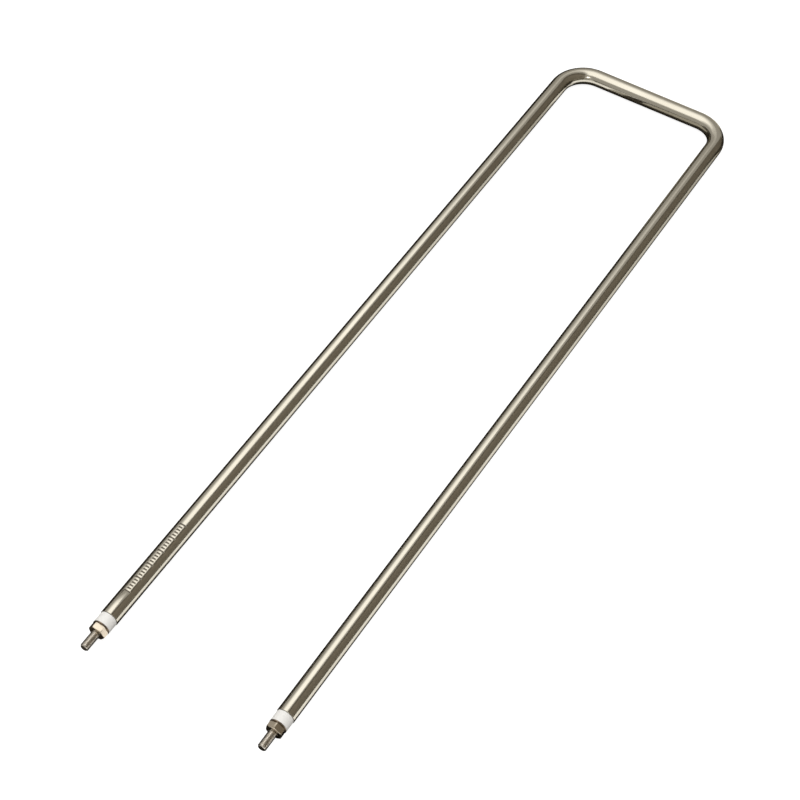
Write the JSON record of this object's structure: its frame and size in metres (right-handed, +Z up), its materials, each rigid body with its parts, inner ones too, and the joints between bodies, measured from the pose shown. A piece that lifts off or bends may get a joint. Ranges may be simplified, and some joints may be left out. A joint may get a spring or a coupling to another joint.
{
  "type": "tubular heating element",
  "caption": "Flat U of stainless sheathed resistance heating tube, with ceramic insulators, threaded studs and nuts at its open end, for warming air or melting frost.",
  "frame": {"origin": "on the surface that the element lies on, under the middle of its overall length and width", "axes": "+X across the legs, from the left to the right; +Y along the legs, from the terminals to the bends; +Z up, square to the plane of the U"},
  "size_m": [0.096, 0.4224, 0.0085],
  "materials": {
    "sheath_steel": "polished",
    "terminal_steel": "satin",
    "nut_steel": "satin",
    "washer_steel": "satin",
    "insulator_ceramic": "matte",
    "seal_silicone": "satin",
    "magnesia": "matte",
    "resistance_wire": "satin"
  },
  "bodies": {
    "root": {"sheath": "sheath_steel", "heating_coil": "resistance_wire", "insulation_core": "magnesia", "terminal_pin_left": "terminal_steel", "end_seal_left": "seal_silicone", "ceramic_insulator_left": "insulator_ceramic", "washer_left": "washer_steel", "terminal_nut_left": "nut_steel", "terminal_pin_right": "terminal_steel", "end_seal_right": "seal_silicone", "ceramic_insulator_right": "insulator_ceramic", "washer_right": "washer_steel", "terminal_nut_right": "nut_steel"}
  },
  "joints": []
}
